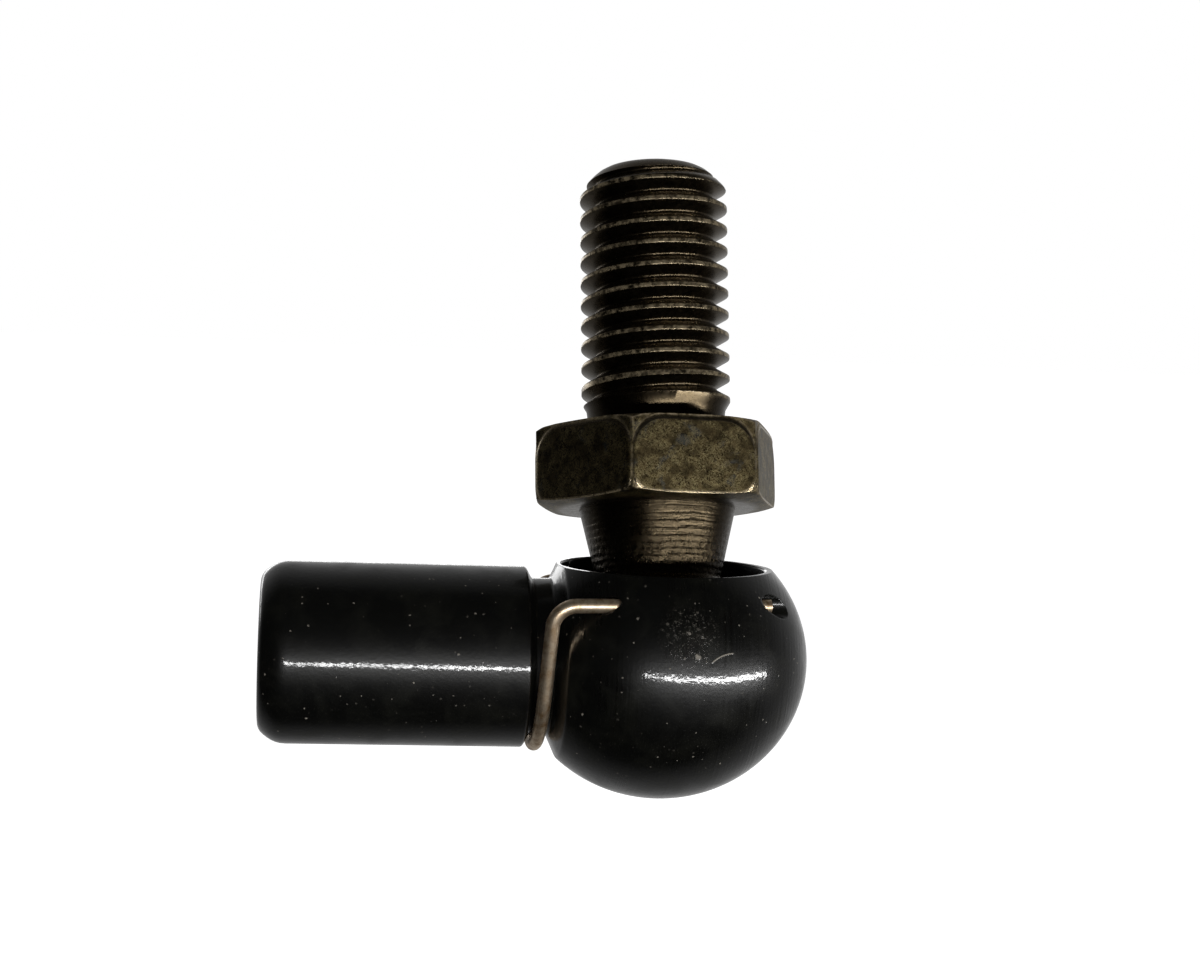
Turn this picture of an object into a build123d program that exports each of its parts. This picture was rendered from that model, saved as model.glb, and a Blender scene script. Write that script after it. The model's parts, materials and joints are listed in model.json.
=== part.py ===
from build123d import *

# Angle ball joint: a threaded ball stud held at a right angle in a turned socket housing.
#
# Frame, in millimetres: the origin is the centre of the ball.  The housing's shank points
# along -X, its socket opens towards +Z, and the stud leans back a little towards +Y.
# Screw threads are left as plain cylinders: the stud at its outer diameter, the hole in
# the shank at its tapping diameter.

import os
from math import acos, atan2, cos, degrees, hypot, radians, sin, sqrt, tan

# --- driving dimensions -----------------------------------------------------------

# ball and stud
ball_dia = 16.0
ball_flat_dia = 4.0  # small flat under the ball, where it was parted off
neck_small_dia = 9.9  # where the neck meets the ball
neck_large_dia = 12.51  # under the hexagon
neck_root_fillet = 0.8
hex_flats = 17.8  # across the flats
hex_bottom = 11.9  # heights are measured along the stud from the centre of the ball
hex_top = 18.4
hex_face_dia_bottom = 15.2  # flat ring inside the crowned end
hex_face_dia_top = 14.2
hex_crown_dia = 20.64  # just outside the corners
hex_crown_bottom = 0.45  # how far each end falls away from its flat ring to the corners
hex_crown_top = 0.27
hex_round_bottom = 1.0  # radius that takes off the tips of the corners
hex_round_top = 1.2
hex_turn = 10.5  # first corner, from the stud's own X direction
thread_dia = 12.0
thread_relief_dia = 11.05
thread_relief_length = 2.05
stud_length = 39.9  # centre of the ball to the end of the stud
stud_point_dia = 8.4
stud_point_length = 1.9

# the stud's lean when the joint is at rest
lean_back = 11.8  # towards +Y
lean_side = 1.2  # towards -X

# housing, turned about the X axis
head_half_length = 11.7
head_dia = 22.0
shank_dia = 14.2
shank_end = -31.4
shank_chamfer_length = 1.4
shank_chamfer_depth = 1.05
groove_dia = 12.4  # neck groove that the bow of the clip sits in
groove_start = -10.4
groove_end = -8.9
groove_shoulder = 0.5  # length of the slope from the shank down into the groove
head_start = -8.1  # where the slope out of the groove meets the head

# socket
socket_clearance = 0.05  # all round the ball
socket_face = 7.38  # height of the flat round the opening
socket_edge = 0.12

# female thread in the shank, M10 x 1.5
tapping_dia = 8.5
tapping_depth = 17.0
tapping_mouth_dia = 10.4
drill_point_angle = 118.0

# snap ring, sprung into a groove above the middle of the ball
ring_wire_dia = 1.2
ring_height = 3.0
ring_ball_gap = 0.15
ring_side_gap = 0.05
ring_groove_dia = 18.7
ring_gap_angle = 26.0

# safety clip: one bent wire
clip_wire_dia = 1.1
clip_bow_gap = 0.08  # between the bow and the floor of the neck groove
clip_bend_radius = 1.75
leg_height = 5.1
leg_offset = 7.35  # from the X axis, beside the ball
leg_toe_in = 8.6  # degrees: the legs close in towards the front of the head
leg_tip = 8.2
clip_corner = -9.4
clip_bow_lean = 2.4  # degrees: the bow stands back towards the shank
leg_hole_dia = 1.9


# --- worked out from them ---------------------------------------------------------

ball_radius = ball_dia / 2
socket_radius = ball_radius + socket_clearance
head_radius = head_dia / 2
shank_radius = shank_dia / 2


def head_radius_at(x):
    """Radius of the oval head, this far along the X axis."""
    return head_radius * sqrt(1 - (x / head_half_length) ** 2)


def leg_offset_at(x):
    """How far the middle of a clip leg is from the X axis."""
    return leg_offset - x * tan(radians(leg_toe_in))


def tilted_stud():
    """Plane whose Z axis runs up the stud as it leans at rest."""
    up = Vector(0, 0, 1).rotate(Axis.X, -lean_back).rotate(Axis.Y, -lean_side)
    across = Vector(1, 0, 0) - up * up.X
    return Plane(origin=(0, 0, 0), x_dir=across, z_dir=up)


# --- sub-parts ----------------------------------------------------------------------


def turned_blank():
    """Oval head, neck groove and shank, as they come off the lathe."""
    start_angle = degrees(acos(head_start / head_half_length))
    head = EllipticalCenterArc(
        (0, 0), head_half_length, head_radius, start_angle=start_angle, arc_size=-start_angle
    )
    end_radius = shank_radius - shank_chamfer_depth
    outline = Polyline(
        (head_half_length, 0),
        (shank_end, 0),
        (shank_end, end_radius),
        (shank_end + shank_chamfer_length, shank_radius),
        (groove_start - groove_shoulder, shank_radius),
        (groove_start, groove_dia / 2),
        (groove_end, groove_dia / 2),
        (head_start, head_radius_at(head_start)),
    )
    profile = Plane.XZ * make_face(Curve() + [outline, head])
    return revolve(profile, axis=Axis.X)


def socket_bore():
    """The ball's seat: a straight bore from above that ends in half a ball."""
    top = head_radius + 1
    bore = extrude(Circle(socket_radius), amount=top) + Sphere(socket_radius)
    edge = Pos(0, 0, socket_face - socket_edge) * Cone(
        socket_radius, socket_radius + 2 * socket_edge, 2 * socket_edge,
        align=(Align.CENTER, Align.CENTER, Align.MIN),
    )
    return bore + edge


def snap_ring_groove():
    """Square groove in the wall of the bore."""
    half_height = ring_wire_dia / 2 + ring_side_gap
    disc = Cylinder(ring_groove_dia / 2, 2 * half_height)
    return Pos(0, 0, ring_height) * disc


def tapped_hole():
    """Blind hole in the end of the shank, with its drill point and countersunk mouth."""
    radius = tapping_dia / 2
    point = radius / tan(radians(drill_point_angle / 2))
    mouth = tapping_mouth_dia / 2
    profile = make_face(
        Polyline(
            (shank_end, 0),
            (shank_end, mouth),
            (shank_end + mouth - radius, radius),
            (shank_end + tapping_depth, radius),
            (shank_end + tapping_depth + point, 0),
            close=True,
        )
    )
    return revolve(Plane.XZ * profile, axis=Axis.X)


def leg_hole(side):
    """Hole for one leg of the clip, right through the head beside the ball."""
    start = Vector(groove_end, side * leg_offset_at(groove_end), leg_height)
    end = Vector(head_half_length, side * leg_offset_at(head_half_length), leg_height)
    along = Plane(origin=start, z_dir=end - start)
    return extrude(along * Circle(leg_hole_dia / 2), amount=(end - start).length)


def socket_housing():
    """Head, neck and shank in one turned piece, bored and drilled."""
    body = turned_blank()
    above = Pos(0, 0, socket_face) * Box(
        head_dia, head_dia, head_dia, align=(Align.CENTER, Align.CENTER, Align.MIN)
    )
    body -= above
    body -= socket_bore()
    body -= snap_ring_groove()
    body -= tapped_hole()
    for side in (-1, 1):
        body -= leg_hole(side)
    return body


def hexagon():
    """Spanner hexagon with slightly crowned ends and rounded corner tips."""
    bar = RegularPolygon(hex_flats / 2, side_count=6, major_radius=False, rotation=hex_turn)
    prism = Pos(0, 0, hex_bottom) * extrude(bar, amount=hex_top - hex_bottom)
    reach = hex_crown_dia / 2
    low_corner = (reach, hex_bottom + hex_crown_bottom)
    high_corner = (reach, hex_top - hex_crown_top)
    turned = make_face(
        Polyline(
            (0, hex_bottom),
            (hex_face_dia_bottom / 2, hex_bottom),
            low_corner,
            high_corner,
            (hex_face_dia_top / 2, hex_top),
            (0, hex_top),
            close=True,
        )
    )
    for corner, radius in ((low_corner, hex_round_bottom), (high_corner, hex_round_top)):
        turned = fillet(turned.vertices().sort_by_distance(corner)[0], radius)
    return prism & revolve(Plane.XZ * turned, axis=Axis.Z)


def ball_and_neck():
    """Ball with a small flat below and the tapered neck above it."""
    flat_radius = ball_flat_dia / 2
    flat_height = -sqrt(ball_radius**2 - flat_radius**2)
    neck_radius = neck_small_dia / 2
    neck_height = sqrt(ball_radius**2 - neck_radius**2)
    low = degrees(atan2(flat_height, flat_radius))
    high = degrees(atan2(neck_height, neck_radius))
    ball = CenterArc((0, 0), ball_radius, start_angle=low, arc_size=high - low)
    sides = Polyline(
        (neck_radius, neck_height),
        (neck_large_dia / 2, hex_bottom),
        (0, hex_bottom),
        (0, flat_height),
        (flat_radius, flat_height),
    )
    profile = make_face(Curve() + [ball, sides])
    root = profile.vertices().sort_by_distance((neck_radius, neck_height))[0]
    profile = fillet(root, neck_root_fillet)
    return revolve(Plane.XZ * profile, axis=Axis.Z)


def threaded_shank():
    """Relief above the hexagon, then the thread's outer diameter and its pointed end."""
    radius = thread_dia / 2
    relief = thread_relief_dia / 2
    relief_end = hex_top + thread_relief_length
    profile = make_face(
        Polyline(
            (0, hex_top),
            (relief, hex_top),
            (relief, relief_end),
            (radius, relief_end + radius - relief),
            (radius, stud_length - stud_point_length),
            (stud_point_dia / 2, stud_length),
            (0, stud_length),
            close=True,
        )
    )
    return revolve(Plane.XZ * profile, axis=Axis.Z)


def ball_stud():
    """Ball, neck, hexagon and threaded shank, turned from one hexagon bar."""
    return tilted_stud().location * (ball_and_neck() + hexagon() + threaded_shank())


def snap_ring():
    """Open ring of round wire that keeps the ball in its seat."""
    reach = ball_radius + ring_ball_gap + ring_wire_dia / 2
    ring_radius = sqrt(reach**2 - ring_height**2)
    section = Plane.XZ * Pos(ring_radius, ring_height) * Circle(ring_wire_dia / 2)
    ring = revolve(section, axis=Axis.Z, revolution_arc=360 - ring_gap_angle)
    return ring.rotate(Axis.Z, ring_gap_angle / 2)


def safety_clip():
    """Wire clip: a bow under the neck and two legs over the shoulders of the ball."""
    bow_radius = groove_dia / 2 + clip_bow_gap + clip_wire_dia / 2
    corner_offset = leg_offset_at(clip_corner)
    flare = acos(bow_radius / hypot(corner_offset, leg_height)) - atan2(leg_height, corner_offset)
    bow_depth = bow_radius / sin(flare)  # where the two sides of the bow would cross
    bow_x = clip_corner - (leg_height + bow_depth) * tan(radians(clip_bow_lean))
    near, far = -1, 1
    points = [
        (leg_tip, near * leg_offset_at(leg_tip), leg_height),
        (clip_corner, near * corner_offset, leg_height),
        (bow_x, 0, -bow_depth),
        (clip_corner, far * corner_offset, leg_height),
        (leg_tip, far * leg_offset_at(leg_tip), leg_height),
    ]
    path = FilletPolyline(*points, radius=[clip_bend_radius, bow_radius, clip_bend_radius])
    section = Plane(origin=path @ 0, z_dir=path % 0) * Circle(clip_wire_dia / 2)
    return sweep(section, path=path)


pieces = {
    "socket_housing": socket_housing,
    "ball_stud": ball_stud,
    "snap_ring": snap_ring,
    "safety_clip": safety_clip,
}

os.makedirs("parts", exist_ok=True)
for name, make in pieces.items():
    solid = make()
    export_step(solid, f"parts/{name}.step")
    print(name, f"{solid.volume:.1f} mm3", solid.is_valid, len(solid.solids()))
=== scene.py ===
"""Angle ball joint: its looks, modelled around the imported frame."""

import json
import math

import bpy
from mathutils import Matrix, Vector


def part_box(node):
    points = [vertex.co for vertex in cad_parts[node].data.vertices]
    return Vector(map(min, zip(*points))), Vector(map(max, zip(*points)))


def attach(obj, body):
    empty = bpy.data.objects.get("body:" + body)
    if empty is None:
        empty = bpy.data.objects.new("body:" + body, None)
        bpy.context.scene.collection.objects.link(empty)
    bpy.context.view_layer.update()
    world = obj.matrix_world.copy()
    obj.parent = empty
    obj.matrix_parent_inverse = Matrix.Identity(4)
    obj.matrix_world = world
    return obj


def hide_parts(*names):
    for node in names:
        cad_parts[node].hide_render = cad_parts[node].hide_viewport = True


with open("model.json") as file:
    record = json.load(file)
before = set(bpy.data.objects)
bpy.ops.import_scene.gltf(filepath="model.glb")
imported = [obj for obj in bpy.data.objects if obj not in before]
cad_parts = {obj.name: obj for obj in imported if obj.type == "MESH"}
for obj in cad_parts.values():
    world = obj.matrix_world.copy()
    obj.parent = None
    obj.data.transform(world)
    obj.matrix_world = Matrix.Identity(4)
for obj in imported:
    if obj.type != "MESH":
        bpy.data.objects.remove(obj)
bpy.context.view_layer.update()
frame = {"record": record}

MM = 0.001
STEPS = 120  # flats round a full turn of a turned surface

# --- sizes, in millimetres, from the centre of the ball -----------------------------------

low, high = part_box("socket_housing")
shank_end = low[0] / MM
head_half_length = high[0] / MM
head_radius = -low[2] / MM
socket_face = high[2] / MM

shank_radius = 7.1
shank_chamfer_length = 1.4
shank_chamfer_depth = 1.05
groove_radius = 6.2
groove_start = -10.4
groove_end = -8.9
groove_shoulder = 0.5
head_start = -8.1

ball_radius = 8.0
socket_radius = 8.05
ring_wire_radius = 0.6
ring_height = 3.0
ring_groove_radius = 9.35
ring_groove_half_height = 0.65
ring_ball_gap = 0.15
ring_gap_angle = 26.0
lip_chamfer = 0.12

tapping_radius = 4.25
tapping_depth = 17.0
tapping_mouth_radius = 5.2
tapped_length = 15.0
female_pitch = 1.5
female_major_radius = 5.0
drill_point_slope = math.tan(math.radians(59.0))

ball_flat_radius = 2.0
neck_small_radius = 4.95
neck_large_radius = 6.255
hex_flats = 17.8
hex_bottom = 11.9
hex_top = 18.4
hex_face_bottom = 7.6
hex_face_top = 7.1
hex_crown_radius = 10.32
hex_crown_bottom = 0.45
hex_crown_top = 0.27
hex_round_bottom = 0.85
hex_round_top = 1.1
pad_proud = 0.15  # how far each flat stands out of its rounded border
pad_half_width = 4.58
pad_bottom = 12.36
pad_top = 17.7
pad_corner_bottom = 1.3
pad_corner_top = 2.2
pad_edge = (  # how far each step round the pad's edge goes down and out
    (0.004, 0.08), (0.015, 0.1), (0.03, 0.1), (0.045, 0.08), (0.06, 0.06), (0.5, 0.0),
)
hex_edge_bevel = 0.07
hex_turn = 10.5  # degrees
thread_radius = 6.0
thread_pitch = 1.75
thread_depth = 0.6134 * thread_pitch
thread_root_round = 0.16
thread_crest_round = 0.11
thread_front = 34.32  # height of a crest on the side towards -Y
relief_radius = 5.525
relief_length = 2.05
stud_end = 39.9
stud_point_radius = 4.2
stud_point_length = 1.9

wire_radius = 0.55
bow_gap = 0.08  # between the bow and the bottom of the groove
bow_lean = math.tan(math.radians(2.4))
bend_radius = 1.75
clip_corner = -9.4
leg_height = 5.1
leg_offset = 7.35  # at the middle of the ball; the legs come nearer each other towards +X
leg_toe_in = math.tan(math.radians(8.6))
leg_tip = 7.5
leg_entry_radius = 0.6
leg_hole_radius = 1.0


# --- modelling tools ----------------------------------------------------------------------


def deselect():
    """Leave nothing selected, and no piece in edit mode."""
    if bpy.context.object and bpy.context.object.mode != "OBJECT":
        bpy.ops.object.mode_set(mode="OBJECT")
    bpy.ops.object.select_all(action="DESELECT")


def activate(piece):
    """Select this piece alone and make it the active one."""
    deselect()
    piece.select_set(True)
    bpy.context.view_layer.objects.active = piece


def edit(piece):
    """Put a piece in edit mode with all of it selected."""
    activate(piece)
    bpy.ops.object.mode_set(mode="EDIT")
    bpy.ops.mesh.select_all(action="SELECT")


def pick(piece, test):
    """In edit mode, select only the vertices whose place passes the test."""
    bpy.ops.mesh.select_all(action="DESELECT")
    bpy.ops.object.mode_set(mode="OBJECT")
    for vertex in piece.data.vertices:
        vertex.select = test(vertex.co)
    bpy.ops.object.mode_set(mode="EDIT")


def apply_modifier(piece, kind, **settings):
    """Add a modifier with its settings, and apply it."""
    activate(piece)
    modifier = piece.modifiers.new(kind.lower(), kind)
    for name, value in settings.items():
        setattr(modifier, name, value)
    bpy.ops.object.modifier_apply(modifier=modifier.name)


def extend(move):
    """Extrude the selection by a move in metres."""
    bpy.ops.mesh.extrude_region_move(TRANSFORM_OT_translate={"value": move})


def outline(name, points):
    """A chain of edges through the points, drawn by extruding one vertex."""
    deselect()
    points = [Vector(p) * MM for p in points]
    bpy.ops.mesh.primitive_plane_add(size=MM, location=(0, 0, 0))
    piece = bpy.context.object
    piece.name = name
    bpy.ops.object.mode_set(mode="EDIT")
    bpy.ops.mesh.select_mode(type="VERT")
    bpy.ops.mesh.merge(type="CENTER")
    bpy.ops.transform.translate(value=points[0])
    for here, there in zip(points, points[1:]):
        extend(there - here)
    return piece


def clean_up(piece):
    """Merge what meets, drop what has no area, and point every face outwards."""
    edit(piece)
    bpy.ops.mesh.remove_doubles(threshold=1e-7)
    bpy.ops.mesh.dissolve_degenerate(threshold=1e-8)
    bpy.ops.mesh.select_all(action="SELECT")
    bpy.ops.mesh.normals_make_consistent(inside=False)
    bpy.ops.object.mode_set(mode="OBJECT")


def softened(profile, soft):
    """The profile with each listed corner (index, width) rounded."""
    profile = [Vector(point) for point in profile]
    for index, width in sorted(soft, reverse=True):
        before, corner, after = profile[index - 1:index + 2]
        start = corner + (before - corner).normalized() * width
        end = corner + (after - corner).normalized() * width
        profile[index:index + 1] = [
            start.lerp(corner, part / 4).lerp(corner.lerp(end, part / 4), part / 4)
            for part in range(5)
        ]
    return profile


def turned(name, profile, axis="Z", steps=STEPS, soft=()):
    """A closed turned solid. The profile lists (distance along the axis, radius).

    Soft lists (corner's index in the profile, width) for each corner to round."""
    profile = softened(profile, soft)
    if axis == "X":
        points = [(along, 0, radius) for along, radius in profile]
        direction = (1, 0, 0)
    else:
        points = [(radius, 0, along) for along, radius in profile]
        direction = (0, 0, 1)
    piece = outline(name, points)
    bpy.ops.mesh.select_all(action="SELECT")
    bpy.ops.mesh.spin(steps=steps, angle=math.tau, center=(0, 0, 0), axis=direction)
    clean_up(piece)
    return piece


def bend(angle, centre, axis, steps):
    """Sweep the selection round an axis, right-handed (Blender's own spin is left-handed)."""
    bpy.ops.mesh.spin(steps=steps, angle=-angle, center=centre, axis=axis)


def carve(piece, cutter, operation="DIFFERENCE"):
    """Boolean the cutter into the piece, then throw the cutter away."""
    apply_modifier(piece, "BOOLEAN", object=cutter, operation=operation, solver="EXACT")
    bpy.data.objects.remove(cutter, do_unlink=True)


def finish(piece, angle=32.0):
    """Smooth shading, with edges sharper than the angle kept crisp."""
    clean_up(piece)
    activate(piece)
    bpy.ops.object.shade_smooth_by_angle(angle=math.radians(angle))


def put(piece, matrix):
    """Move the finished mesh to its place, leaving the object at the origin."""
    activate(piece)
    piece.matrix_world = matrix
    bpy.ops.object.transform_apply(location=True, rotation=True, scale=True)


def vee(pitch, major, depth, root, crest):
    """Outline of a thread-cutting tooth: rounded at its tip, flared where it leaves a crest.

    Root and crest are the radii of those roundings. The tooth lists (height, radius).
    Its flanks stand at 30 degrees to the radius."""
    slant = math.radians(30)
    lean = math.tan(slant)
    middle = pitch / 2
    tip = major - depth + root
    half_tip = root * math.cos(slant)
    flank_foot = tip - root * math.sin(slant)
    flank_top = major - crest * (1 - math.sin(slant))
    half_top = half_tip + (flank_top - flank_foot) * lean
    side = []
    for i in range(5):
        angle = math.radians(90 - 60 * i / 4)
        side.append((
            half_top + crest * math.cos(slant) - crest * math.cos(angle),
            major - crest + crest * math.sin(angle),
        ))
    for i in range(4):
        angle = math.radians(60 * i / 3)
        side.append((root * math.cos(slant + angle), tip - root * math.sin(slant + angle)))
    outside = (side[0][0], major + 0.06)  # the tooth starts just outside the blank
    left = [(middle - along, radius) for along, radius in [outside, *side]]
    right = [(middle + along, radius) for along, radius in reversed([outside, *side[:-1]])]
    return left + right


def helix(name, tooth, start, turns, pitch, steps, fade=0.0):
    """A closed tooth swept along a right-hand helix up Z.

    The first turn draws out by the fade, as where a die is opened."""
    points = [(radius, 0, start + height) for height, radius in tooth]
    middle = sum(height for height, radius in tooth) / len(tooth)
    piece = outline(name, points)
    bpy.ops.mesh.select_all(action="SELECT")
    bpy.ops.mesh.edge_face_add()
    bpy.ops.mesh.delete(type="ONLY_FACE")
    bpy.ops.object.mode_set(mode="OBJECT")
    apply_modifier(piece, "SCREW", angle=math.tau, screw_offset=pitch * MM, iterations=turns,
                   steps=steps, render_steps=steps, axis="Z", use_merge_vertices=False)
    for vertex in piece.data.vertices:
        part_turn = math.atan2(vertex.co.y, vertex.co.x) / math.tau % 1
        height = (vertex.co.z / MM - start - middle) / pitch
        if fade and height - part_turn < 0.5:
            radius = math.hypot(vertex.co.x, vertex.co.y)
            grow = 1 + fade * MM * (1 - part_turn) ** 2 / radius
            vertex.co.x *= grow
            vertex.co.y *= grow
    edit(piece)
    bpy.ops.mesh.remove_doubles(threshold=1e-7)
    bpy.ops.mesh.fill_holes(sides=0)
    bpy.ops.mesh.select_all(action="SELECT")
    bpy.ops.mesh.normals_make_consistent(inside=False)
    bpy.ops.object.mode_set(mode="OBJECT")
    return piece


# --- housing ------------------------------------------------------------------------------


def leg_offset_at(x):
    """How far a leg of the clip is from the middle, where it passes x."""
    return leg_offset - x * leg_toe_in


def turned_blank():
    """Shank, neck groove and oval head as turned, before anything is cut into them."""
    start = math.acos(head_start / head_half_length)
    steps = 56
    head = [start * (1 - i / steps) for i in range(steps + 1)]
    oval = [(head_half_length * math.cos(a), head_radius * math.sin(a)) for a in head]
    profile = [
        (shank_end, 0),
        (shank_end, shank_radius - shank_chamfer_depth),
        (shank_end + shank_chamfer_length, shank_radius),
        (groove_start - groove_shoulder, shank_radius),
        (groove_start, groove_radius),
        (groove_end, groove_radius),
        *oval,
    ]
    soft = [(1, 0.6), (2, 0.8), (3, 0.15), (4, 0.15), (5, 0.15), (6, 0.15)]
    return turned("socket_housing_skin", profile, axis="X", steps=192, soft=soft)


def socket_cutter():
    """Half-ball seat, straight bore, ring groove and mouth, as one turned tool."""
    over = 0.5  # how far the chamfer's cone runs on past the face
    clear = head_radius + 1
    mouth = socket_radius + lip_chamfer + over
    floor = ring_height - ring_groove_half_height
    roof = ring_height + ring_groove_half_height
    steps = 32
    down = [math.pi / 2 * i / steps for i in range(steps + 1)]
    seat = [(-socket_radius * math.cos(a), socket_radius * math.sin(a)) for a in down]
    profile = [
        *seat,
        (floor, socket_radius),
        (floor, ring_groove_radius),
        (roof, ring_groove_radius),
        (roof, socket_radius),
        (socket_face - lip_chamfer, socket_radius),
        (socket_face + over, mouth),
        (clear, mouth),
        (clear, 0),
    ]
    return turned("socket_cutter", profile, steps=160)


def drill():
    """Tapping drill and countersink, coming in along the shank."""
    clear = 1
    bottom = shank_end + tapping_depth
    profile = [
        (shank_end - clear, 0),
        (shank_end - clear, tapping_mouth_radius + clear),
        (shank_end, tapping_mouth_radius),
        (shank_end + tapping_mouth_radius - tapping_radius, tapping_radius),
        (bottom, tapping_radius),
        (bottom + tapping_radius / drill_point_slope, 0),
    ]
    return turned("drill", profile, axis="X", steps=96)


def tap():
    """Helical tool that cuts the female thread."""
    depth = female_major_radius - tapping_radius
    slant = math.radians(30)
    half_root = female_pitch / 16
    clear = 0.1  # the tooth starts inside the drilled hole
    half_mouth = half_root + (depth + clear) * math.tan(slant)
    tooth = [
        (0, tapping_radius - clear),
        (half_mouth - half_root, female_major_radius),
        (half_mouth + half_root, female_major_radius),
        (2 * half_mouth, tapping_radius - clear),
    ]
    turns = int(tapped_length / female_pitch)
    coil = helix("tap", tooth, -female_pitch, turns, female_pitch, 96)
    shank_face = Matrix.Translation((shank_end * MM, 0, 0))
    put(coil, shank_face @ Matrix.Rotation(math.pi / 2, 4, "Y"))
    return coil


def leg_drill(side):
    """Drill for one leg of the clip, through the head beside the ball.

    It widens towards its far end, where the hole is open to be seen."""
    start = Vector((groove_end, side * leg_offset_at(groove_end), leg_height))
    end = Vector((head_half_length, side * leg_offset_at(head_half_length), leg_height))
    deselect()
    bpy.ops.mesh.primitive_cone_add(
        vertices=48, radius1=leg_entry_radius * MM, radius2=leg_hole_radius * MM,
        depth=(end - start).length * MM)
    piece = bpy.context.object
    turn = Vector((0, 0, 1)).rotation_difference(end - start).to_matrix().to_4x4()
    put(piece, Matrix.Translation((start + end) / 2 * MM) @ turn)
    return piece


def socket_housing():
    """The turned blank, faced flat on top, bored, tapped, and drilled for the clip."""
    piece = turned_blank()
    size = 3 * head_radius * MM
    deselect()
    bpy.ops.mesh.primitive_cube_add(size=size, location=(0, 0, socket_face * MM + size / 2))
    slab = bpy.context.object
    put(slab, slab.matrix_world.copy())
    carve(piece, slab)
    carve(piece, socket_cutter())
    carve(piece, drill())
    carve(piece, tap())
    for side in (-1, 1):
        carve(piece, leg_drill(side))
    finish(piece)
    return piece


# --- ball stud ----------------------------------------------------------------------------


def stud_blank():
    """Ball, neck and shank as turned, with the middle left for the hexagon."""
    flat = math.asin(ball_flat_radius / ball_radius)
    root = math.asin(neck_small_radius / ball_radius)
    core = relief_radius - 0.1  # the relief widens a little on its way up
    steps = 60
    up = [flat + (math.pi - root - flat) * i / steps for i in range(steps + 1)]
    ball = [(-ball_radius * math.cos(a), ball_radius * math.sin(a)) for a in up]
    relief_end = hex_top + relief_length
    profile = [
        (ball[0][0], 0),
        *ball,
        (hex_bottom, neck_large_radius),
        (hex_bottom + 1, neck_large_radius),
        (hex_bottom + 1, core),
        (hex_top + 0.2, core),
        (hex_top + 1.5, relief_radius + 0.08),
        (relief_end + 0.1, thread_radius),
        (stud_end - stud_point_length, thread_radius),
        (stud_end, stud_point_radius),
        (stud_end, 0),
    ]
    ends = len(profile)
    soft = [(len(ball), 0.4), (ends - 3, 0.3), (ends - 2, 1.1)]
    return turned("ball_stud_skin", profile, soft=soft)


def hex_pad(turn):
    """The flat of one face: a rounded rectangle that rolls off into its border."""
    length = pad_top - pad_bottom
    deselect()
    bpy.ops.mesh.primitive_plane_add(size=1)
    piece = bpy.context.object
    put(piece, Matrix.Diagonal((2 * pad_half_width * MM, length * MM, 1, 1)))
    edit(piece)
    for up, width in ((1, pad_corner_top), (-1, pad_corner_bottom)):
        pick(piece, lambda place: place.y * up > 0.45 * length * MM)
        bpy.ops.mesh.bevel(offset=width * MM, segments=6, affect="VERTICES")
    bpy.ops.mesh.select_all(action="SELECT")
    for down, out in pad_edge:
        extend((0, 0, -down * MM))
        grow = (1 + out / pad_half_width, 1 + out * 2 / length, 1)
        bpy.ops.transform.resize(value=grow, center_override=(0, 0, 0))
    clean_up(piece)
    face = Matrix.Translation((hex_flats / 2 * MM, 0, (pad_bottom + pad_top) / 2 * MM))
    upright = Matrix.Rotation(math.pi / 2, 4, "Y") @ Matrix.Rotation(math.pi / 2, 4, "Z")
    put(piece, Matrix.Rotation(turn, 4, "Z") @ face @ upright)
    return piece


def hexagon():
    """Hexagon with slightly crowned ends, rounded corner tips and a raised flat on each face."""
    corner = (hex_flats / 2 - pad_proud) / math.cos(math.pi / 6)
    deselect()
    bpy.ops.mesh.primitive_cylinder_add(
        vertices=6, radius=corner * MM, depth=(hex_top - hex_bottom) * MM)
    piece = bpy.context.object
    piece.name = "hexagon"
    middle = Matrix.Translation((0, 0, (hex_bottom + hex_top) / 2 * MM))
    put(piece, middle @ Matrix.Rotation(math.radians(hex_turn - 30), 4, "Z"))
    apply_modifier(piece, "BEVEL", width=hex_edge_bevel * MM, segments=2,
                   limit_method="ANGLE", angle_limit=math.radians(50))
    barrel = turned("barrel", [
        (hex_bottom, 0),
        (hex_bottom, hex_face_bottom),
        (hex_bottom + hex_crown_bottom, hex_crown_radius),
        (hex_top - hex_crown_top, hex_crown_radius),
        (hex_top, hex_face_top),
        (hex_top, 0),
    ], soft=[(2, hex_round_bottom), (3, hex_round_top)])
    for face in range(6):
        carve(piece, hex_pad(math.radians(hex_turn + 30 + 60 * face)), "UNION")
    carve(piece, barrel, "INTERSECT")
    return piece


def die():
    """Helical tool that cuts the stud's thread, drawn out over its lowest turn."""
    tooth = vee(thread_pitch, thread_radius, thread_depth, thread_root_round, thread_crest_round)
    turns_below = 8.75  # from the crest at the front down to where the cut starts, at +X
    start = thread_front - turns_below * thread_pitch
    turns = int((stud_end - start) / thread_pitch) + 1
    return helix("die", tooth, start, turns, thread_pitch, STEPS, fade=thread_depth + 0.1)


def ball_stud(place):
    """The stud, made upright on the ball's centre and then leant as it stands at rest."""
    piece = stud_blank()
    carve(piece, die())
    carve(piece, hexagon(), "UNION")
    finish(piece)
    put(piece, place)
    return piece


# --- ring and clip ------------------------------------------------------------------------


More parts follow.
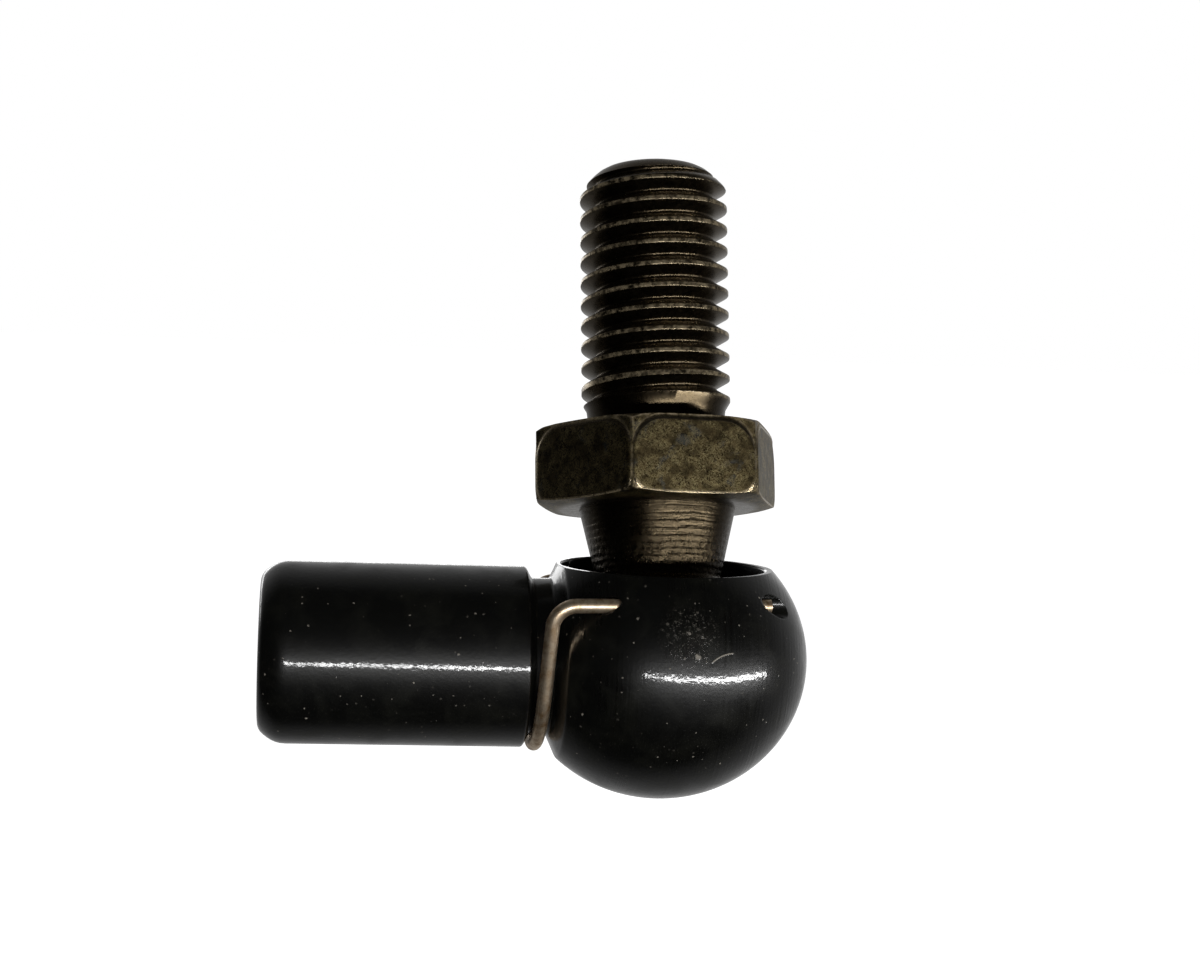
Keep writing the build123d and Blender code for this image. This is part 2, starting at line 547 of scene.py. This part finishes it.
def snap_ring():
    """Open ring of round wire, just clear of the ball above its middle."""
    reach = ball_radius + ring_ball_gap + ring_wire_radius
    radius = math.sqrt(reach**2 - ring_height**2)
    gap = math.radians(ring_gap_angle)
    deselect()
    bpy.ops.mesh.primitive_circle_add(
        vertices=32, radius=ring_wire_radius * MM, fill_type="NGON", rotation=(math.pi / 2, 0, 0))
    piece = bpy.context.object
    piece.name = "snap_ring_wire"
    start = Matrix.Translation((radius * MM, 0, ring_height * MM)) @ piece.matrix_world
    put(piece, Matrix.Rotation(gap / 2, 4, "Z") @ start)
    edit(piece)
    bend(math.tau - gap, (0, 0, 0), (0, 0, 1), 120)
    finish(piece, 50)
    return piece


def rounded_corner(before, corner, after, radius):
    """Where a bend starts and ends, its centre, its axis and its angle."""
    into = (corner - before).normalized()
    out = (after - corner).normalized()
    angle = into.angle(out)
    reach = radius * math.tan(angle / 2)
    start = corner - into * reach
    end = corner + out * reach
    axis = into.cross(out).normalized()
    return start, end, start + axis.cross(into) * radius, axis, angle


def safety_clip():
    """Half of the wire, from under the neck to the tip of a leg, and its mirror image."""
    bow_radius = groove_radius + bow_gap + wire_radius
    corner_offset = leg_offset_at(clip_corner)
    reach = math.hypot(corner_offset, leg_height)
    flare = math.acos(bow_radius / reach) - math.atan2(leg_height, corner_offset)
    bow_depth = bow_radius / math.sin(flare)  # where the two sides would meet below the neck
    bow_x = clip_corner - (leg_height + bow_depth) * bow_lean

    tip = Vector((leg_tip, -leg_offset_at(leg_tip), leg_height)) * MM
    corner = Vector((clip_corner, -corner_offset, leg_height)) * MM
    mirrored = Vector((clip_corner, corner_offset, leg_height)) * MM
    below = Vector((bow_x, 0, -bow_depth)) * MM
    bow_start, bow_end, bow_centre, bow_axis, bow_angle = rounded_corner(
        mirrored, below, corner, bow_radius * MM)
    bend_start, bend_end, bend_centre, bend_axis, bend_angle = rounded_corner(
        below, corner, tip, bend_radius * MM)
    half_bow = Matrix.Rotation(bow_angle / 2, 3, bow_axis)
    middle = half_bow @ (bow_start - bow_centre) + bow_centre

    deselect()
    bpy.ops.mesh.primitive_circle_add(
        vertices=32, radius=wire_radius * MM, rotation=(math.pi / 2, 0, 0), location=middle)
    piece = bpy.context.object
    piece.name = "safety_clip_wire"
    put(piece, piece.matrix_world.copy())
    edit(piece)
    bend(bow_angle / 2, bow_centre, bow_axis, 40)
    extend(bend_start - bow_end)
    bend(bend_angle, bend_centre, bend_axis, 24)
    extend(tip - bend_end)
    bpy.ops.mesh.edge_face_add()
    bpy.ops.object.mode_set(mode="OBJECT")
    apply_modifier(piece, "MIRROR", use_axis=(False, True, False), use_clip=True,
                   merge_threshold=1e-6)
    finish(piece, 50)
    return piece


# --- materials ----------------------------------------------------------------------------

# Heights of the bumps are in micrometres, and sizes of the patterns in millimetres: a noise of
# scale 1 is about 1 mm from one light patch to the next.
MICROMETRE = 0.001 * MM


def linear(hex_colour):
    """An sRGB hex colour as linear RGBA."""
    channels = [int(hex_colour[i:i + 2], 16) / 255 for i in (0, 2, 4)]
    return (*[c / 12.92 if c <= 0.04045 else ((c + 0.055) / 1.055) ** 2.4 for c in channels], 1)


def add(tree, kind, inputs=(), out=0, **settings):
    """Add a node with its settings and links, and return one of its outputs.

    The inputs go by place in a list or by name in a dictionary, and each is a value or
    another node's output. With out=None, the node itself is returned."""
    node = tree.nodes.new("ShaderNode" + kind)
    for name, value in settings.items():
        setattr(node, name, value)
    for name, value in inputs.items() if isinstance(inputs, dict) else enumerate(inputs):
        if isinstance(value, bpy.types.NodeSocket):
            tree.links.new(value, node.inputs[name])
        else:
            node.inputs[name].default_value = value
    return node if out is None else node.outputs[out]


def new_material(name):
    """A material with an empty node tree, and that tree."""
    material = bpy.data.materials.new(name)
    material.use_nodes = True
    material.node_tree.nodes.clear()
    return material, material.node_tree


def millimetres(tree, turn=(0, 0, 0)):
    """The piece's own coordinates in millimetres, turned into a part's axes."""
    place = add(tree, "TexCoord", out="Object")
    return add(tree, "Mapping", {"Vector": place, "Rotation": turn, "Scale": (1 / MM,) * 3})


def specks(tree, place, scale, share, radius):
    """Sparse ragged specks, some brighter than others. The share is how many cells have one."""
    ragged = add(tree, "TexNoise", {"Vector": place, "Scale": 9.0, "Detail": 2.0}, out="Color")
    ragged = add(tree, "VectorMath", [ragged, (0.16, 0.16, 0.16), place],
                 operation="MULTIPLY_ADD")
    cells = add(tree, "TexVoronoi", {"Vector": ragged, "Scale": scale}, out=None).outputs
    chosen = add(tree, "SeparateColor", [cells["Color"]], out=None).outputs
    size = add(tree, "MapRange", [chosen["Red"], 1 - share, 1.0, 0.0, radius * scale])
    inside = add(tree, "Math", [size, cells["Distance"]], operation="SUBTRACT")
    inside = add(tree, "MapRange", [inside, 0.0, 0.05])
    brightness = add(tree, "MapRange", [chosen["Green"], 0.3, 1.0, 0.12, 1.0])
    return add(tree, "Math", [inside, brightness], operation="MULTIPLY")


def hairs(tree, place, scale, detail, roughness, twist):
    """Hair-fine lines that wander and cross, where a noise passes its middle value."""
    level = add(tree, "TexNoise", {"Vector": place, "Scale": scale, "Detail": detail,
                                   "Roughness": roughness, "Distortion": twist})
    level = add(tree, "Math", [level, 0.5], operation="SUBTRACT")
    level = add(tree, "Math", [level], operation="ABSOLUTE")
    return add(tree, "MapRange", [level, 0.02, 0.004])


def black_oxide():
    """Hot black oxide on turned steel under a film of oil: near black with a crisp grainy
    highlight in the film, a dull one in the oxide, the tool's fine rings, dust and chips."""
    material, tree = new_material("black_oxide_steel")
    place = millimetres(tree)
    parts = add(tree, "SeparateXYZ", [place], out=None).outputs
    along, up = parts["X"], parts["Z"]

    # turning marks, a ring for each 0.25 mm of feed: clear in some patches and rubbed out in
    # others, and fainter on the shank than on the head
    feed = add(tree, "TexNoise", {"W": along, "Scale": 4.0, "Detail": 2.0},
               noise_dimensions="1D")
    patches = add(tree, "TexNoise", {"Vector": place, "Scale": 0.22, "Detail": 2.0})
    patches = add(tree, "MapRange", [patches, 0.4, 0.62, 0.15, 1.0])
    on_head = add(tree, "MapRange", [along, groove_end, groove_end + 0.5, 0.12, 1.0])
    rings = add(tree, "Math", [feed, patches], operation="MULTIPLY")
    rings = add(tree, "Math", [rings, on_head], operation="MULTIPLY")
    # etched grain, finer on the real one and drawn at 0.3 mm so that it shows
    grain = add(tree, "TexNoise", {"Vector": place, "Scale": 3.4, "Detail": 1.5,
                                   "Roughness": 0.55})
    # slow waves of the film, 2 mm long
    waves = add(tree, "TexNoise", {"Vector": place, "Scale": 0.5, "Detail": 2.0})

    # scuffs where the front of the head was knocked
    knocked = add(tree, "VectorMath", [place, (0.6, -10.5, 3.2)], out="Value",
                  operation="DISTANCE")
    knocked = add(tree, "MapRange", [knocked, 2.6, 1.6, 0.0, 0.6])
    broken = add(tree, "TexNoise", {"Vector": place, "Scale": 5.0, "Detail": 2.0})
    broken = add(tree, "MapRange", [broken, 0.45, 0.6, 0.0, 0.55])
    scrapes = add(tree, "Math", [hairs(tree, place, 1.9, 3.0, 0.6, 1.0), broken],
                  operation="MULTIPLY")
    scuffs = add(tree, "Math", [specks(tree, place, 3.0, 0.3, 0.13), scrapes], operation="ADD")
    scuffs = add(tree, "Math", [scuffs, knocked], operation="MULTIPLY")
    # a ragged chip below them, half a millimetre across
    chip = add(tree, "VectorMath", [place, (1.23, -10.81, 1.68)], out="Value",
               operation="DISTANCE")
    ragged = add(tree, "TexNoise", {"Vector": place, "Scale": 3.0, "Detail": 3.0})
    chip = add(tree, "Math", [ragged, 0.5, chip], operation="MULTIPLY_ADD")
    chip = add(tree, "MapRange", [chip, 0.52, 0.42, 0.0, 0.8])
    # and a curved scratch beside the chip: the part of a circle that lies between two heights
    # and two distances along the head
    scratch = add(tree, "VectorMath", [place, (4.3, -10.8, -0.9)], out="Value",
                  operation="DISTANCE")
    scratch = add(tree, "Math", [scratch, 2.96], operation="SUBTRACT")
    scratch = add(tree, "Math", [scratch], operation="ABSOLUTE")
    scratch = add(tree, "MapRange", [scratch, 0.07, 0.02])
    for distance, outside, inside in ((along, 4.1, 3.9), (along, 2.1, 2.3), (up, 1.25, 1.4)):
        kept = add(tree, "MapRange", [distance, outside, inside])
        scratch = add(tree, "Math", [scratch, kept], operation="MULTIPLY")
    # dust, thick in some places and thin in others, and lint
    settled = add(tree, "TexNoise", {"Vector": place, "Scale": 1.9, "Detail": 1.0})
    settled = add(tree, "MapRange", [settled, 0.4, 0.6, 0.1, 0.9])
    marks = add(tree, "Math", [specks(tree, place, 1.6, 0.45, 0.13), settled],
                operation="MULTIPLY")
    for mark in (specks(tree, place, 2.6, 0.2, 0.09), scuffs, chip, scratch):
        marks = add(tree, "Math", [marks, mark], operation="MAXIMUM")

    height = 0.0
    for share, micrometres in ((rings, 16.0), (grain, 8.0), (waves, 3.0), (marks, 14.0)):
        height = add(tree, "Math", [share, micrometres, height], operation="MULTIPLY_ADD")
    rounded = add(tree, "Bevel", {"Radius": 0.12 * MM}, samples=4)
    bump = add(tree, "Bump", {"Height": height, "Strength": 1.0, "Distance": MICROMETRE,
                              "Normal": rounded})

    # patches a few millimetres across where hands have thinned the oil
    touched = add(tree, "TexNoise", {"Vector": place, "Scale": 0.35, "Detail": 4.0,
                                     "Roughness": 0.6, "Distortion": 0.6})
    touched = add(tree, "MapRange", [touched, 0.45, 0.7])
    colour = add(tree, "Mix", {0: touched, 6: linear("050504"), 7: linear("0d0d09")}, out=2,
                 data_type="RGBA")
    colour = add(tree, "Mix", {0: marks, 6: colour, 7: linear("6f6a61")}, out=2,
                 data_type="RGBA")
    rough = add(tree, "MapRange", [touched, 0.0, 1.0, 0.36, 0.42])
    for share, change in ((rings, -0.16), (marks, 0.3)):
        rough = add(tree, "Math", [share, change, rough], operation="MULTIPLY_ADD")
    film = 0.8
    for share, change in ((marks, -0.7), (touched, -0.3)):
        film = add(tree, "Math", [share, change, film], operation="MULTIPLY_ADD")
    surface = add(tree, "BsdfPrincipled", {
        "Base Color": colour, "Roughness": rough, "IOR": 1.35, "Normal": bump,
        "Coat Weight": film, "Coat Roughness": 0.09, "Coat Normal": bump})
    add(tree, "OutputMaterial", {"Surface": surface}, out=None)
    return material


def dark_steel(turn):
    """Steel darkened by phosphate and oil: an olive-brown metal, mottled and scratched on
    the spanner flats, worn bright on edges and crests, with turned rings on the neck."""
    material, tree = new_material("dark_passivated_steel")
    place = millimetres(tree, turn)
    parts = add(tree, "SeparateXYZ", [place], out=None).outputs
    up = parts["Z"]
    radius = add(tree, "CombineXYZ", [parts["X"], parts["Y"]])
    radius = add(tree, "VectorMath", [radius], out="Value", operation="LENGTH")
    on_flats = add(tree, "MapRange", [radius, 7.6, 8.3])
    on_neck = add(tree, "MapRange", [up, hex_bottom + 0.1, hex_bottom - 0.1])

    # turned rings on the neck, one each 0.52 mm, that waver and tear towards the ball
    waver = add(tree, "TexNoise", {"Vector": place, "Scale": 0.45, "Detail": 3.0})
    waver = add(tree, "Math", [waver, 7.0], operation="MULTIPLY")
    feed = add(tree, "Math", [up, math.tau / 0.52, waver], operation="MULTIPLY_ADD")
    feed = add(tree, "Math", [feed], operation="SINE")
    fine = add(tree, "TexNoise", {"W": up, "Scale": 7.0, "Detail": 2.0}, noise_dimensions="1D")
    torn = add(tree, "TexNoise", {"Vector": place, "Scale": 2.6, "Detail": 4.0,
                                  "Roughness": 0.6, "Distortion": 0.4})
    near_ball = add(tree, "MapRange", [up, 10.5, 7.5, 0.1, 1.0])
    torn = add(tree, "Math", [torn, near_ball], operation="MULTIPLY")
    rings = 0.0
    for share, micrometres in ((feed, 13.0), (fine, 14.0), (torn, 110.0)):
        rings = add(tree, "Math", [share, micrometres, rings], operation="MULTIPLY_ADD")
    height = add(tree, "Math", [rings, on_neck], operation="MULTIPLY")

    # pressed texture of the spanner flats, pits 0.4 mm across, and a finer grain all over
    pits = add(tree, "TexNoise", {"Vector": place, "Scale": 2.6, "Detail": 6.0,
                                  "Roughness": 0.7})
    pits = add(tree, "Math", [pits, on_flats], operation="MULTIPLY")
    grain = add(tree, "TexNoise", {"Vector": place, "Scale": 7.0, "Detail": 3.0,
                                   "Roughness": 0.6})
    for share, micrometres in ((pits, 26.0), (grain, 3.0)):
        height = add(tree, "Math", [share, micrometres, height], operation="MULTIPLY_ADD")
    rounded = add(tree, "Bevel", {"Radius": 0.08 * MM}, samples=4)
    bump = add(tree, "Bump", {"Height": height, "Strength": 1.0, "Distance": MICROMETRE,
                              "Normal": rounded})

    # the turned surfaces, with painted shade darkening them on the neck and in the relief under
    # the thread, which dims the highlights there
    mottle = add(tree, "TexNoise", {"Vector": place, "Scale": 1.6, "Detail": 7.0,
                                    "Roughness": 0.75, "Distortion": 0.6})
    mottle = add(tree, "MapRange", [mottle, 0.36, 0.64])
    turned_part = add(tree, "Mix", {0: mottle, 6: linear("453c2c"), 7: linear("625746")},
                      out=2, data_type="RGBA")
    below_thread = add(tree, "MapRange", [up, 20.7, 20.3])
    under_crests = add(tree, "MapRange", [radius, 5.95, 5.85])
    on_relief = add(tree, "Math", [below_thread, under_crests], operation="MULTIPLY")
    # painted shade: the neck and the relief under the crests are darkened to dim their highlights
    painted_shade = add(tree, "Math", [on_neck, on_relief], operation="MAXIMUM")
    painted_shade = add(tree, "Math", [painted_shade, 0.8], operation="MULTIPLY")
    turned_part = add(tree, "Mix", {0: painted_shade, 6: turned_part, 7: linear("3b3326")},
                      out=2, data_type="RGBA")

    # the flats, mottled, with bluish patches 2 mm across and pale hair-fine scratches
    fibres = 0.0
    for scale, twist in ((1.7, 2.2), (2.9, 1.5)):
        fibres = add(tree, "Math", [fibres, hairs(tree, place, scale, 5.0, 0.7, twist)],
                     operation="MAXIMUM")
    gathered = add(tree, "TexNoise", {"Vector": place, "Scale": 0.9, "Detail": 2.0})
    gathered = add(tree, "MapRange", [gathered, 0.38, 0.58, 0.2, 1.0])
    fibres = add(tree, "Math", [fibres, gathered], operation="MULTIPLY")
    blue = add(tree, "TexNoise", {"Vector": place, "Scale": 0.55, "Detail": 4.0,
                                  "Roughness": 0.65, "Distortion": 0.5})
    blue = add(tree, "MapRange", [blue, 0.56, 0.68, 0.0, 0.8])
    flats = linear("17110a")
    for share, tint in ((mottle, "564a33"), (blue, "4c4f50"), (fibres, "b5a577")):
        flats = add(tree, "Mix", {0: share, 6: flats, 7: linear(tint)}, out=2,
                    data_type="RGBA")
    colour = add(tree, "Mix", {0: on_flats, 6: turned_part, 7: flats}, out=2,
                 data_type="RGBA")

    # crests of the thread and edges of the hexagon, rubbed to brighter steel
    crest = add(tree, "MapRange", [radius, 5.95, 5.995])
    for distance, outside, inside in ((radius, 6.4, 6.2), (up, 20.0, 20.6)):
        kept = add(tree, "MapRange", [distance, outside, inside])
        crest = add(tree, "Math", [crest, kept], operation="MULTIPLY")
    soft = add(tree, "Bevel", {"Radius": 0.3 * MM}, samples=8)
    flush = add(tree, "VectorMath", [soft, add(tree, "NewGeometry", out="Normal")],
                out="Value", operation="DOT_PRODUCT")
    edge = add(tree, "MapRange", [flush, 0.9993, 0.98])
    edge = add(tree, "Math", [edge, on_flats], operation="MULTIPLY")
    rub = add(tree, "TexNoise", {"Vector": place, "Scale": 2.2, "Detail": 4.0,
                                 "Roughness": 0.6})
    rub = add(tree, "MapRange", [rub, 0.35, 0.6])
    worn = add(tree, "Math", [crest, edge], operation="MAXIMUM")
    worn = add(tree, "Math", [worn, rub], operation="MULTIPLY")
    # the rim round each flat leans up or down a little, and is polished
    facing = add(tree, "Mapping", {"Vector": add(tree, "TexCoord", out="Normal"),
                                   "Rotation": turn})
    tilt = add(tree, "SeparateXYZ", [facing], out="Z")
    tilt = add(tree, "Math", [tilt], operation="ABSOLUTE")
    rim = on_flats
    for outside, inside in ((0.06, 0.12), (0.45, 0.32)):
        kept = add(tree, "MapRange", [tilt, outside, inside])
        rim = add(tree, "Math", [rim, kept], operation="MULTIPLY")
    polished = add(tree, "Math", [worn, rim], operation="MAXIMUM")
    colour = add(tree, "Mix", {0: polished, 6: colour, 7: linear("94866c")}, out=2,
                 data_type="RGBA")

    rough = add(tree, "MapRange", [mottle, 0.0, 1.0, 0.24, 0.32])
    for share, change in ((on_flats, 0.14), (rim, -0.18)):
        rough = add(tree, "Math", [share, change, rough], operation="MULTIPLY_ADD")
    metal = add(tree, "MapRange", [worn, 0.0, 1.0, 1.0, 0.72])
    surface = add(tree, "BsdfPrincipled", {
        "Base Color": colour, "Metallic": metal, "Roughness": rough, "Normal": bump})
    add(tree, "OutputMaterial", {"Surface": surface}, out=None)
    return material


def spring_wire(name, clean, stained):
    """Drawn spring wire: bright metal with the die's fine marks and a warm stain."""
    material, tree = new_material(name)
    place = millimetres(tree)
    stain = add(tree, "TexNoise", {"Vector": place, "Scale": 1.3, "Detail": 4.0,
                                   "Roughness": 0.6})
    stain = add(tree, "MapRange", [stain, 0.4, 0.68])
    colour = add(tree, "Mix", {0: stain, 6: linear(clean), 7: linear(stained)}, out=2,
                 data_type="RGBA")
    # marks of the die, drawn at 0.2 mm so that they show
    marks = add(tree, "TexNoise", {"Vector": place, "Scale": 6.0, "Detail": 4.0,
                                   "Roughness": 0.6})
    bump = add(tree, "Bump", {"Height": marks, "Strength": 1.0, "Distance": 3 * MICROMETRE})
    surface = add(tree, "BsdfPrincipled", {
        "Base Color": colour, "Metallic": 0.96, "Normal": bump,
        "Roughness": add(tree, "MapRange", [stain, 0.0, 1.0, 0.36, 0.44])})
    add(tree, "OutputMaterial", {"Surface": surface}, out=None)
    return material


# --- the object ---------------------------------------------------------------------------

mounts = {m["name"]: m for m in frame["record"]["mounts"]}
stud_up = Vector(mounts["stud_thread"]["axis"]).normalized()
stud_across = (Vector((1, 0, 0)) - stud_up * stud_up.x).normalized()
stud_place = Matrix((stud_across, stud_up.cross(stud_across), stud_up)).transposed().to_4x4()
stud_turn = stud_place.inverted().to_euler()

ring_steel = spring_wire("drawn_spring_steel", "6b6862", "4a463f")
clip_steel = spring_wire("plated_spring_wire", "ead6ba", "a98a66")
pieces = [
    (socket_housing(), "housing", "socket_housing", "black_oxide_steel", black_oxide()),
    (ball_stud(stud_place), "stud", "ball_stud", "dark_passivated_steel", dark_steel(stud_turn)),
    (snap_ring(), "ring", "snap_ring", "spring_steel", ring_steel),
    (safety_clip(), "housing", "safety_clip", "plated_wire", clip_steel),
]
for piece, body, node, slot, material in pieces:
    piece.data.materials.clear()
    piece.data.materials.append(material)
    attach(piece, body)
    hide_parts(node)

# --- studio -------------------------------------------------------------------------------

floor_size = 40.0  # metres, so that its far edge is level with the camera
floor_depth = 75.0  # the part is held by its shank, clear above the floor
deselect()
bpy.ops.mesh.primitive_plane_add(size=floor_size, location=(0, 0, -floor_depth * MM))
floor = bpy.context.object
floor.name = "floor"
floor.visible_glossy = False  # metal shows the pale sweep of the world down there instead
paper, tree = new_material("white_paper")
rays = add(tree, "LightPath", out=None).outputs
seen = 0.0
for kind in ("Is Camera Ray", "Is Glossy Ray", "Is Transmission Ray"):
    seen = add(tree, "Math", [seen, rays[kind]], operation="MAXIMUM")
glow = add(tree, "Emission", {
    "Color": (1, 1, 1, 1), "Strength": add(tree, "Math", [seen, 0.7], operation="MULTIPLY")})
matt = add(tree, "BsdfPrincipled", {"Base Color": linear("f4f4f4"), "Roughness": 0.9})
lit = add(tree, "AddShader", [matt, glow])
add(tree, "OutputMaterial", {"Surface": lit}, out=None)
floor.data.materials.append(paper)

# a white sweep behind the part, brightest at its middle, and a dim room in front of it
world = bpy.data.worlds.new("studio")
bpy.context.scene.world = world
world.use_nodes = True
tree = world.node_tree
tree.nodes.clear()
rays = add(tree, "LightPath", out=None).outputs
behind = Vector((0.25, 1.0, -0.03)).normalized()
facing = add(tree, "VectorMath", [add(tree, "TexCoord", out="Generated"), behind],
             out="Value", operation="DOT_PRODUCT")
facing = add(tree, "MapRange", [facing, 0.0, 1.0])
middle = add(tree, "Math", [facing, 8.0], operation="POWER")
sweep = 0.003
for share, level in ((facing, 0.33), (middle, 0.3)):
    sweep = add(tree, "Math", [share, level, sweep], operation="MULTIPLY_ADD")
reflected = add(tree, "Math", [rays["Is Glossy Ray"], rays["Is Transmission Ray"]],
                operation="MAXIMUM")
level = add(tree, "Mix", {0: reflected, 2: 0.45, 3: sweep}, data_type="FLOAT")
level = add(tree, "Mix", {0: rays["Is Camera Ray"], 2: level, 3: 1.0}, data_type="FLOAT")
backdrop = add(tree, "Background", {"Color": (1, 1, 1, 1), "Strength": level})
add(tree, "OutputWorld", {"Surface": backdrop}, out=None)


def softbox(name, place, width, height, watts):
    """A rectangular lamp aimed at the ball, its width level. Its place is in millimetres."""
    deselect()
    bpy.ops.object.light_add(type="AREA", location=Vector(place) * MM)
    lamp = bpy.context.object
    lamp.name = name
    lamp.data.shape = "RECTANGLE"
    lamp.data.size = width * MM
    lamp.data.size_y = height * MM
    lamp.data.energy = watts
    lamp.rotation_euler = (-Vector(place)).to_track_quat("-Z", "Y").to_euler()


softbox("window_strip", (140, -234, -40), 585, 11, 1.05)
softbox("rim_strip", (-120, 320, 40), 420, 40, 0.12)

camera_target = (-5.04, 1.53, 13.34)
camera_distance = 174.63
camera_side, camera_above, camera_tilt = -7.26, 3.755, 2.137  # degrees
bpy.ops.object.camera_add()
camera = bpy.context.object
camera.data.lens = 66
camera.data.sensor_width = 36
camera.data.clip_start = 0.01
camera.matrix_world = (
    Matrix.Translation(Vector(camera_target) * MM)
    @ Matrix.Rotation(math.radians(camera_side), 4, "Z")
    @ Matrix.Rotation(math.radians(90 - camera_above), 4, "X")
    @ Matrix.Rotation(math.radians(camera_tilt), 4, "Z")
    @ Matrix.Translation((0, 0, camera_distance * MM))
)
bpy.context.scene.camera = camera

bpy.context.scene.view_settings.view_transform = "Standard"
